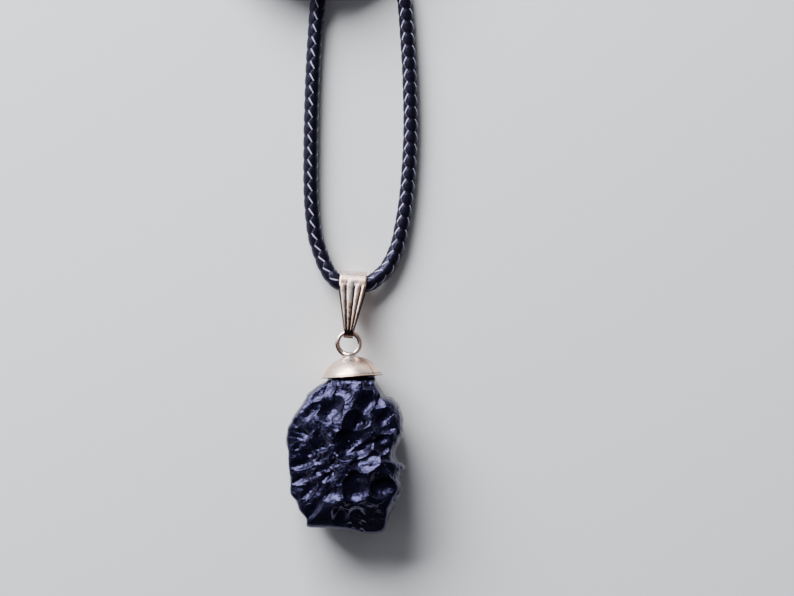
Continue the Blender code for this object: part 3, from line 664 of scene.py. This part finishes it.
def add_knot(material):
    """The two turns, side by side and slanted, that the doubled cord takes round itself."""
    heading = np.array([math.cos(KNOT_HEADING), math.sin(KNOT_HEADING), 0.0])
    across = np.array([-heading[1], heading[0], 0.0])
    middle = np.array(KNOT_PLACE) + np.array([*COIL_CENTRE, 0.0])
    angles = np.linspace(0, 2 * math.pi, KNOT_STEPS_ROUND, endpoint=False)
    wide, high = KNOT_TURN_SIZE
    points, faces, places = [], [], []
    for offset in (-CORD_RADIUS, CORD_RADIUS):
        line = (middle + (offset + KNOT_TURN_SLANT * np.cos(angles))[:, None] * heading
                + np.outer(wide * np.cos(angles), across) + np.outer(high * np.sin(angles), (0.0, 0.0, 1.0)))
        ahead = np.roll(line, -1, axis=0) - np.roll(line, 1, axis=0)
        ahead /= np.linalg.norm(ahead, axis=1)[:, None]
        first = heading - (ahead @ heading)[:, None] * ahead
        first /= np.linalg.norm(first, axis=1)[:, None]
        tube, place = braided_tube(line, first, np.cross(ahead, first),
                                   angles / (2 * math.pi) * KNOT_TURN_PITCHES * BRAID_PITCH,
                                   np.zeros(KNOT_STEPS_ROUND))
        start = len(points) * len(tube)
        faces += [[start + k for k in face] for face in grid_faces(KNOT_STEPS_ROUND, CORD_SIDES, True, True)]
        points.append(tube)
        places.append(place)
    knot = make_piece("tied_knot", np.vstack(points), faces, CORD_BODY, material)
    add_places(knot, np.vstack(places))
    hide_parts("cord_knot")
    return knot


def ball_grid(detail):
    """Directions and triangles of a ball: an icosahedron with each edge cut into equal pieces."""
    tall = (1 + math.sqrt(5)) / 2
    corners = np.array([
        (-1, tall, 0), (1, tall, 0), (-1, -tall, 0), (1, -tall, 0), (0, -1, tall), (0, 1, tall),
        (0, -1, -tall), (0, 1, -tall), (tall, 0, -1), (tall, 0, 1), (-tall, 0, -1), (-tall, 0, 1),
    ])
    corners /= np.linalg.norm(corners[0])
    sides = [
        (a, b, c)
        for a in range(12) for b in range(a + 1, 12) for c in range(b + 1, 12)
        if max(np.linalg.norm(corners[a] - corners[b]), np.linalg.norm(corners[b] - corners[c]),
               np.linalg.norm(corners[c] - corners[a])) < 1.1
    ]
    number, directions, faces = {}, [], []

    def corner(a, b, c, i, j):
        weights = tuple(sorted(((a, detail - i - j), (b, i), (c, j))))
        key = tuple(w for w in weights if w[1])
        if key not in number:
            number[key] = len(directions)
            directions.append(sum(corners[n] * w for n, w in key))
        return number[key]

    for a, b, c in sides:
        if np.dot(np.cross(corners[b] - corners[a], corners[c] - corners[a]), corners[a]) < 0:
            b, c = c, b
        rows = [[corner(a, b, c, i, j) for j in range(detail - i + 1)] for i in range(detail + 1)]
        for i in range(detail):
            for j in range(detail - i):
                faces.append((rows[i][j], rows[i + 1][j], rows[i][j + 1]))
                if i + j < detail - 1:
                    faces.append((rows[i + 1][j], rows[i + 1][j + 1], rows[i][j + 1]))
    directions = np.array(directions)
    return directions / np.linalg.norm(directions, axis=1)[:, None], faces


def rounded_min(a, b, width):
    """The smaller of two distances, with the crest between them rounded over the width."""
    share = np.clip(0.5 + 0.5 * (b - a) / width, 0, 1)
    return b * (1 - share) + a * share - width * share * (1 - share)


def outline_reach(angles):
    """How far the stone's outline is from its heart in the plan, in each direction."""
    looped = np.array(STONE_OUTLINE + STONE_OUTLINE[:1])
    curve = smooth_curve(looped, STONE_OUTLINE_STEPS) - np.array(STONE_HEART[:2])
    turn = np.arctan2(curve[:, 1], curve[:, 0])
    return np.interp(angles, turn, np.hypot(curve[:, 0], curve[:, 1]), period=2 * math.pi)


def body_reach(directions):
    """The stone's rough block before its hollows: outline, domed front and back, fracture faces."""
    x, y, z = directions.T
    flat = np.hypot(x, y)
    depth = np.where(z > 0, STONE_FRONT, STONE_BACK)
    reach = ((flat / outline_reach(np.arctan2(y, x))) ** STONE_FULLNESS
             + (np.abs(z) / depth) ** STONE_FULLNESS) ** (-1 / STONE_FULLNESS)
    for (px, py, pz), rise_x, rise_y in STONE_FACETS:
        above = pz + rise_x * (STONE_HEART[0] - px) + rise_y * (STONE_HEART[1] - py) - STONE_HEART[2]
        lean = z - rise_x * x - rise_y * y
        facing = lean * above > 0
        distance = np.where(facing, above / np.where(facing, lean, 1), FAR)
        reach = rounded_min(reach, distance, EDGE_ROUNDING)
    return reach


def front_direction(x, y):
    """The direction from the heart to the front above a plan position."""
    across, along = x - STONE_HEART[0], y - STONE_HEART[1]
    up = STONE_FRONT
    for _ in range(8):
        direction = np.array([across, along, up])
        direction /= np.linalg.norm(direction)
        up = max(body_reach(direction[None, :])[0] * direction[2], 0.5)
    return direction


def hollows():
    """Every hollow: its direction, its two half sizes, its turn and its depth."""
    found = [
        (front_direction(x, y), wide, long, math.radians(turn), depth)
        for x, y, wide, long, turn, depth in FRONT_HOLLOWS
    ]
    chance = np.random.default_rng(SIDE_HOLLOW_SEED)
    golden = math.pi * (3 - math.sqrt(5))
    upper, lower = SIDE_HOLLOW_HEIGHTS
    shallow, deeper, over = SIDE_HOLLOW_DEPTHS
    for number in range(SIDE_HOLLOW_COUNT):
        height = upper + (lower - upper) * (number + 0.5) / SIDE_HOLLOW_COUNT
        turn = golden * number + chance.uniform(-SIDE_HOLLOW_JITTER, SIDE_HOLLOW_JITTER)
        level = math.sqrt(1 - height**2)
        direction = np.array([level * math.cos(turn), level * math.sin(turn), height])
        size = chance.uniform(*SIDE_HOLLOW_SIZES)
        depth = shallow + deeper * min((upper - height) / over, 1.0)
        long, turn = size * chance.uniform(*SIDE_HOLLOW_LENGTHS), chance.uniform(0, math.pi)
        found.append((direction, size, long, turn, size * depth))
    return found


def wander(directions):
    """Directions pushed about a little, so that no hollow's rim is a plain oval."""
    x, y, z = directions.T
    push = np.stack([np.sin(9 * y + 4 * z + 0.6) + 0.6 * np.sin(19 * z - 13 * y + 2.1),
                     np.sin(8 * z + 5 * x + 1.9) + 0.6 * np.sin(17 * x + 15 * z + 0.4),
                     np.sin(10 * x - 6 * y + 3.3) + 0.6 * np.sin(21 * y - 11 * x + 1.2)], axis=-1)
    return directions + HOLLOW_WANDER * push


def fine_pits():
    """Small pits: those placed on the left face and a scatter over the whole stone."""
    long, deep = PIT_SHAPE
    found = [(front_direction(x, y), size, size * long, x, size * deep) for x, y, size in PITS]
    chance = np.random.default_rng(FINE_PIT_SEED)
    for _ in range(FINE_PIT_COUNT):
        direction = chance.normal(size=3)
        direction /= np.linalg.norm(direction)
        size = FINE_PIT_SIZES[0] + FINE_PIT_SIZES[1] * chance.random() ** 2
        found.append((direction, size, size * chance.uniform(*FINE_PIT_LENGTHS), chance.uniform(0, math.pi),
                      size * chance.uniform(*FINE_PIT_DEPTHS)))
    return found


def beside(middle):
    """A way square to the given direction."""
    return np.cross((0.0, 1.0, 0.0) if abs(middle[1]) < 0.9 else (1.0, 0.0, 0.0), middle)


def surface_frame(middle):
    """The rough block's surface in one direction: the place and the way straight out of it."""
    side = beside(middle)
    ways = np.array([middle, middle + 0.02 * side, middle + 0.02 * np.cross(middle, side)])
    ways /= np.linalg.norm(ways, axis=1)[:, None]
    places = ways * body_reach(ways)[:, None]
    out = np.cross(places[1] - places[0], places[2] - places[0])
    return places[0], out / np.linalg.norm(out)


def carve(reach, directions, hollow):
    """Cuts one rounded bite into the surface, leaning to the top; where two meet, a crest is left."""
    middle, half_width, half_length, turn, depth = hollow
    place, out = surface_frame(middle)
    out = out + np.array(HOLLOW_LEAN) * max(out[2], 0.0)
    out /= np.linalg.norm(out)
    first = np.array([math.cos(turn), math.sin(turn), 0.0])
    first -= out * (first @ out)
    first /= np.linalg.norm(first)
    # The bite is a ball once the plan is scaled to its half width, its half length and their mean
    size = math.sqrt(half_width * half_length)
    share = depth / size
    ball = (1 + share**2) / (2 * share)
    axes = np.stack([first / half_width, np.cross(out, first) / half_length, out / size], axis=-1)
    start = -place @ axes - (0.0, 0.0, ball - share)
    heading = directions @ axes
    square = (heading**2).sum(axis=1)
    toward = heading @ start
    within = toward**2 - square * (start @ start - ball**2)
    distance = (-toward - np.sqrt(np.maximum(within, 0.0))) / square
    return rounded_min(reach, np.where((within > 0) & (toward < 0), distance, FAR), CREST_ROUNDING)


def press_in(reach, directions, pit):
    """Presses one small pit into the surface as it is, with a soft rim."""
    middle, half_width, half_length, turn, depth = pit
    level = body_reach(middle[None, :])[0]
    near = np.nonzero(directions @ middle > math.cos(min(1.6 * half_width / level, 1.2)))[0]
    local = directions[near]
    ahead = local @ middle
    side = beside(middle)
    side /= np.linalg.norm(side)
    up = np.cross(middle, side)
    out_first = level * (local @ (math.cos(turn) * side + math.sin(turn) * up)) / ahead / half_width
    out_second = level * (local @ (math.cos(turn) * up - math.sin(turn) * side)) / ahead / half_length
    out = np.sqrt(out_first**2 + out_second**2)
    reach[near] -= depth * (1 - ease(out / PIT_EDGE))


def keep_inside_cap(points):
    """Draws the stone's neck in, so that it fits the cap with a gap all round."""
    axis = np.array([-math.sin(CAP_TILT), math.cos(CAP_TILT), 0.0])
    rim = np.array([*CAP_RIM_CENTRE, RING_HEIGHT])
    along = (points - rim) @ axis
    out = points - rim - along[:, None] * axis
    radius = np.linalg.norm(out, axis=1)
    throat = CAP_RADIUS - CAP_WALL - CAP_GAP
    top = CAP_HEIGHT - CAP_WALL - CAP_GAP
    along = np.minimum(along, top * CAP_FILL)
    room = throat * np.sqrt(np.clip(1 - (np.clip(along, 0, None) / top) ** 2, 0, 1))
    room = np.where(along < -CAP_GAP, throat + NECK_SPREAD * (-CAP_GAP - along), room)
    shrink = np.where(radius > room, room / np.maximum(radius, 1e-6), 1.0)
    return rim + along[:, None] * axis + out * shrink[:, None]


def add_stone():
    directions, faces = ball_grid(STONE_DETAIL)
    reach = body_reach(directions)
    wandered = wander(directions)
    for hollow in hollows():
        reach = carve(reach, wandered, hollow)
    for pit in fine_pits():
        press_in(reach, wandered, pit)
    fresh = ease((FRESH_BREAK[0] - STONE_HEART[1] - directions[:, 1] * reach) / FRESH_BREAK[1])
    for scale, depth in STONE_UNEVEN:
        waves = np.array([noise_field.noise(Vector(place)) for place in directions * reach[:, None] * scale])
        reach -= depth * np.clip(0.5 + waves, 0, 1) * (1 - FRESH_SMOOTHING * fresh)
    down = -directions[:, 2]
    reach = np.minimum(reach, np.where(down > 0, STONE_HEART[2] / np.maximum(down, 1e-6), FAR))
    points = keep_inside_cap(np.array(STONE_HEART) + directions * reach[:, None])
    points[:, 2] = np.maximum(points[:, 2], 0.0)
    piece = make_piece("tektite_surface", points, faces, PENDANT_BODY, stone_material(),
                       turn_out=False)
    add_values(piece, "fracture", fresh)
    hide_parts("tektite")


def turned(profile, segments, place, close_profile):
    """A profile of (radius, height) points turned about the axis that place sets up."""
    turn = np.linspace(0, 2 * math.pi, segments, endpoint=False)
    profile = np.array(profile)
    points = np.stack([np.outer(np.cos(turn), profile[:, 0]), np.outer(np.sin(turn), profile[:, 0]),
                       np.tile(profile[:, 1], (segments, 1))], axis=-1).reshape(-1, 3)
    points = points @ np.array(place.to_3x3()).T + np.array(place.translation)
    return points, grid_faces(segments, len(profile), close_rows=True, close_columns=close_profile)


def cap_profile():
    """The shell's section beside its axis, from the crown down the outside and back up inside."""
    ball = (CAP_RADIUS**2 + CAP_HEIGHT**2) / (2 * CAP_HEIGHT)
    below = ball - CAP_HEIGHT
    inner = ball - CAP_WALL
    rim_angle = math.asin(CAP_RADIUS / ball)
    inner_angle = math.acos(below / inner)
    # The crown and the ceiling are single points, and the lip takes the place of the last two steps
    outside = [(ball * math.sin(a), ball * math.cos(a) - below)
               for a in np.linspace(0, rim_angle, CAP_STEPS_OUTSIDE)[1:-3]]
    lip = [(CAP_RADIUS + out, up) for out, up in CAP_LIP]
    inside = [(inner * math.sin(a), inner * math.cos(a) - below)
              for a in np.linspace(inner_angle, 0, CAP_STEPS_INSIDE)[1:-1]]
    return outside + lip + inside, (ball - below, inner - below)


def around(places, middle, half_width, top=1.0):
    """1 at the middle, fading to 0 at either side; a higher top keeps more of it at 1."""
    return ease(top - np.abs(places - middle) / half_width)


def add_cap(material):
    place = (Matrix.Translation((*CAP_RIM_CENTRE, RING_HEIGHT))
             @ Matrix.Rotation(CAP_TILT, 4, "Z") @ Matrix.Rotation(math.radians(-90), 4, "X"))
    profile, (crown, ceiling) = cap_profile()
    points, faces = turned(profile, CAP_SEGMENTS, place, False)
    crown_at, width = len(points), len(profile)
    points = np.vstack([points, place @ Vector((0, 0, crown)), place @ Vector((0, 0, ceiling))])
    for i in range(CAP_SEGMENTS):
        k = (i + 1) % CAP_SEGMENTS
        faces += [(crown_at, i * width, k * width), (crown_at + 1, (k + 1) * width - 1, (i + 1) * width - 1)]
    # The outside, up to the lip's turn, is drawn up to the ring where the solder flowed
    outside = np.concatenate([np.tile(np.arange(width) < width - CAP_STEPS_INSIDE, CAP_SEGMENTS),
                              [True, False]])
    offset = np.hypot((points[:, 0] - SOLDER_MIDDLE) / SOLDER_SPREAD[0],
                      (points[:, 2] - RING_HEIGHT) / SOLDER_SPREAD[1])
    points[:, 1] += np.where(outside, SOLDER_RISE * np.exp(-offset**2), 0.0)
    shell = make_piece("bell_cap_shell", points, faces, PENDANT_BODY, material)
    heights = np.concatenate([np.tile(np.array(profile)[:, 1], CAP_SEGMENTS), [crown, ceiling]])
    degrees = np.linspace(0, 360, CAP_SEGMENTS, endpoint=False)
    angles = np.concatenate([np.repeat(degrees, width), [0, 0]])
    # Painted shade on the cap's right side, which faces away from the light
    right = around(angles, *CAP_SHADED_SIDE)
    # The groove above the lip: tarnish, darkened further on the right side by painted shade
    groove = around(heights, *CAP_GROOVE) * (0.35 + 0.5 * right)
    # Painted reflection: a narrow dark streak on the right side, rising from the lip
    reflected_streak = 0.45 * around(angles, *CAP_REFLECTED_STREAK) * ease(heights / 0.5)
    # Painted shade along the lip's lower edge, next to the stone
    under = 0.85 * ease((0.16 - heights) / 0.08)
    patina_and_shade = np.where(outside, np.clip(groove + reflected_streak + 0.16 * right + under, 0, 1), CAP_LINING_PATINA)
    add_values(shell, "patina_and_shade", patina_and_shade)
    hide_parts("bell_cap")


def add_ring(material):
    """The ring's wire, thicker at its foot in the solder, with painted shade in bands where the wire faces
    away from the light.
    """
    turns, rolls = np.meshgrid(*(np.linspace(0, 2 * math.pi, steps, endpoint=False) for steps in RING_STEPS),
                               indexing="ij")
    growth, share = RING_FOOT
    foot = np.clip(-np.sin(turns) - (1 - share), 0, 1) / share
    thick = RING_WIRE * (1 + growth * foot**2)
    outward = np.cos(rolls)
    flat = RING_RADIUS + thick * outward * np.where(outward < 0, 1 - RING_FOOT_INWARD * foot**2, 1)
    points = np.stack([flat * np.cos(turns), flat * np.sin(turns), RING_HEIGHT + thick * np.sin(rolls)], -1)
    points = points.reshape(-1, 3)
    faces = grid_faces(*RING_STEPS, close_rows=True, close_columns=True)
    ring = make_piece("soldered_ring", points, faces, PENDANT_BODY, material)
    degrees = np.degrees(turns)
    from_right = np.minimum(degrees, 360 - degrees)
    # Painted shade: dark bands on the outer lower left, the inner upper right and the outer far right of the
    # wire, which face away from the light
    shade_lower_left = around(degrees, *RING_SHADE_LOWER_LEFT, 1.6) * ease((outward - 0.05) / 0.5)
    shade_upper_right = around(degrees, *RING_SHADE_UPPER_RIGHT, 1.5) * ease((-outward - 0.15) / 0.4)
    shade_far_right = around(from_right, *RING_SHADE_FAR_RIGHT, 1.5) * ease((outward - 0.75) / 0.2)
    add_values(ring, "patina_and_shade", np.clip(shade_lower_left + shade_upper_right + 0.8 * shade_far_right, 0, 1).ravel())


def bail_section(radii):
    """The side view of the folded strip: an arc round the cord, one round the ring, straight between."""
    top, foot = radii
    lean = math.asin((top - foot) / BAIL_LENGTH)
    quarter = math.pi / 2
    coarse, fine = 3 * BAIL_DETAIL, 6 * BAIL_DETAIL
    over = [(BAIL_LENGTH + top * math.cos(a), top * math.sin(a))
            for a in np.linspace(-quarter - lean, quarter + lean, fine)]
    under = [(foot * math.cos(a), foot * math.sin(a))
             for a in np.linspace(quarter + lean, 2 * math.pi - quarter - lean, coarse)]
    front = [tuple(np.array(over[-1]) * (1 - t) + np.array(under[0]) * t)
             for t in np.linspace(0, 1, fine)[1:-1]]
    back = [tuple(np.array(under[-1]) * (1 - t) + np.array(over[0]) * t)
            for t in np.linspace(0, 1, coarse)[1:-1]]
    return np.array(over + front + under + back)


def bail_half_width(along):
    """Half the strip's width, which grows from its foot to where the taper ends."""
    share = np.clip(along / BAIL_TAPER_LENGTH, 0.0, 1.0)
    return 0.5 * (BAIL_FOOT_WIDTH + (BAIL_TOP_WIDTH - BAIL_FOOT_WIDTH) * share)


def flute_rise(across, along, height):
    """How far the front stands out between its grooves, and how deep in a groove each point is."""
    rise = np.zeros_like(across)
    groove = np.zeros_like(across)
    bulge, beyond, fading = FLUTE_END
    for left, right, start in zip(FLUTE_GROOVES, FLUTE_GROOVES[1:], FLUTE_STARTS):
        here = (across >= left) & (across <= right)
        t = np.abs((2 * across - left - right) / (right - left))
        arch = np.sqrt(np.clip(1 - t**FLUTE_ARCH, 0, 1))
        strength = ease((start + bulge * (1 - t**2) + beyond - along) / fading)
        lifted = FLUTE_HEIGHT * (arch * strength + PLAIN_TOP_LEVEL * (1 - strength))
        rise = np.where(here, lifted, rise)
        groove = np.where(here, strength * ease((t - GROOVE_EDGE) / (1 - GROOVE_EDGE)), groove)
    front = ease((height - 0.15) / 0.4) * ease((along + 0.5) / 0.5)
    return rise * front, groove * front


def add_bail(material):
    place = (Matrix.Translation((0, RING_RADIUS, RING_HEIGHT))
             @ Matrix.Rotation(BAIL_LEAN, 4, "Z") @ Matrix.Rotation(BAIL_SLOPE, 4, "X"))
    outer, inner = (bail_section(radii) for radii in zip(BAIL_TOP_RADII, BAIL_FOOT_RADII))
    across, along = np.meshgrid(np.linspace(-1, 1, BAIL_COLUMNS), outer[:, 0])
    height = np.repeat(outer[:, 1:], BAIL_COLUMNS, axis=1)
    rise, groove = flute_rise(across, along, height)
    drop, edge = BAIL_EDGE_ROUNDING
    rounded = drop * ease((np.abs(across) - (1 - edge)) / edge)
    away = outer - inner
    away = away / np.linalg.norm(away, axis=1)[:, None]
    lift = (rise - rounded)[..., None] * away[:, None, :]
    shell = np.stack([across * bail_half_width(along), along + lift[..., 0], height + lift[..., 1]], -1)
    rows = len(outer)
    half = bail_half_width(outer[:, 0])
    lining = np.stack([np.stack([-half, inner[:, 0], inner[:, 1]], -1),
                       np.stack([half, inner[:, 0], inner[:, 1]], -1)], 1)
    points = np.vstack([shell.reshape(-1, 3), lining.reshape(-1, 3)])
    points = points @ np.array(place.to_3x3()).T + np.array(place.translation)
    faces = grid_faces(rows, BAIL_COLUMNS, close_rows=True)
    # The lining's two points in each row, and the row's first and last point on the outside
    for i in range(rows):
        k = (i + 1) % rows
        near, far = rows * BAIL_COLUMNS + 2 * i, rows * BAIL_COLUMNS + 2 * k
        first, onward = i * BAIL_COLUMNS, k * BAIL_COLUMNS
        last, last_onward = first + BAIL_COLUMNS - 1, onward + BAIL_COLUMNS - 1
        faces += [(near, far, far + 1, near + 1), (first, onward, far, near),
                  (last, near + 1, far + 1, last_onward)]
    piece = make_piece("fluted_bail", points, faces, CORD_BODY, material)
    # Tarnish below the top, with painted shade added toward the lower part and the foot
    lower = BAIL_PATINA + sum(more * ease((start - along) / over)
                              for more, start, over in (BAIL_SHADE_LOWER, BAIL_SHADE_FOOT))
    tarnish_and_shade = np.clip(groove * BAIL_LINING_PATINA + lower * (along < BAIL_TAPER_LENGTH), 0, 1)
    patina_and_shade = np.concatenate([tarnish_and_shade.ravel(), np.full(2 * rows, BAIL_LINING_PATINA)])
    add_values(piece, "patina_and_shade", patina_and_shade)
    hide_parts("bail")


def add_light(name, place, aim, size, power, colour):
    data = bpy.data.lights.new(name, "AREA")
    data.shape = "RECTANGLE"
    data.size, data.size_y = (value * MM for value in size)
    data.energy = power
    data.color = colour
    light = bpy.data.objects.new(name, data)
    bpy.context.scene.collection.objects.link(light)
    light.location = world(place)
    direction = Vector(world(aim)) - light.location
    light.rotation_euler = direction.to_track_quat("-Z", "Y").to_euler()


def add_studio():
    """A pale floor, a large soft light beyond the pendant's top, and a faint even light all round."""
    plane = bpy.data.meshes.new("pale_floor")
    corners = [(x * FLOOR_REACH, y * FLOOR_REACH, 0) for x, y in ((-1, -1), (1, -1), (1, 1), (-1, 1))]
    plane.from_pydata(world(corners).tolist(), [], [(0, 1, 2, 3)])
    floor = bpy.data.objects.new("pale_floor", plane)
    bpy.context.scene.collection.objects.link(floor)
    plane.materials.append(new_material("pale_floor", FLOOR_COLOUR, 0.9, 0.0)[0])
    floor.location.z = -FLOOR_DROP * MM
    add_light("sky_softbox", SOFTBOX_PLACE, SOFTBOX_AIM, SOFTBOX_SIZE, SOFTBOX_POWER, SOFTBOX_COLOUR)
    surround = bpy.data.worlds.new("studio")
    surround.use_nodes = True
    tree = surround.node_tree
    direction = tree.nodes.new("ShaderNodeTexCoord").outputs["Generated"]
    toward = add_node(tree, "ShaderNodeVectorMath", {0: direction, 1: LIGHT_SIDE}, operation="DOT_PRODUCT")
    side = ramp(tree, math_node(tree, "MULTIPLY_ADD", toward.outputs["Value"], 0.5, 0.5), WORLD_SIDES)
    height = add_node(tree, "ShaderNodeSeparateXYZ", {"Vector": direction}).outputs["Z"]
    level = mixed(tree, fade(tree, height, *WORLD_FADE), WORLD_OVERHEAD, side)
    background = tree.nodes["Background"]
    tree.links.new(level, background.inputs["Color"])
    background.inputs["Strength"].default_value = 1.0
    bpy.context.scene.world = surround


add_camera()
brass = brass_material()
waxed = cord_material()
braided_cord, cord_points = add_cord(waxed)
knot = add_knot(waxed)
add_stone()
add_cap(brass)
add_ring(brass)
add_bail(brass)
add_studio()
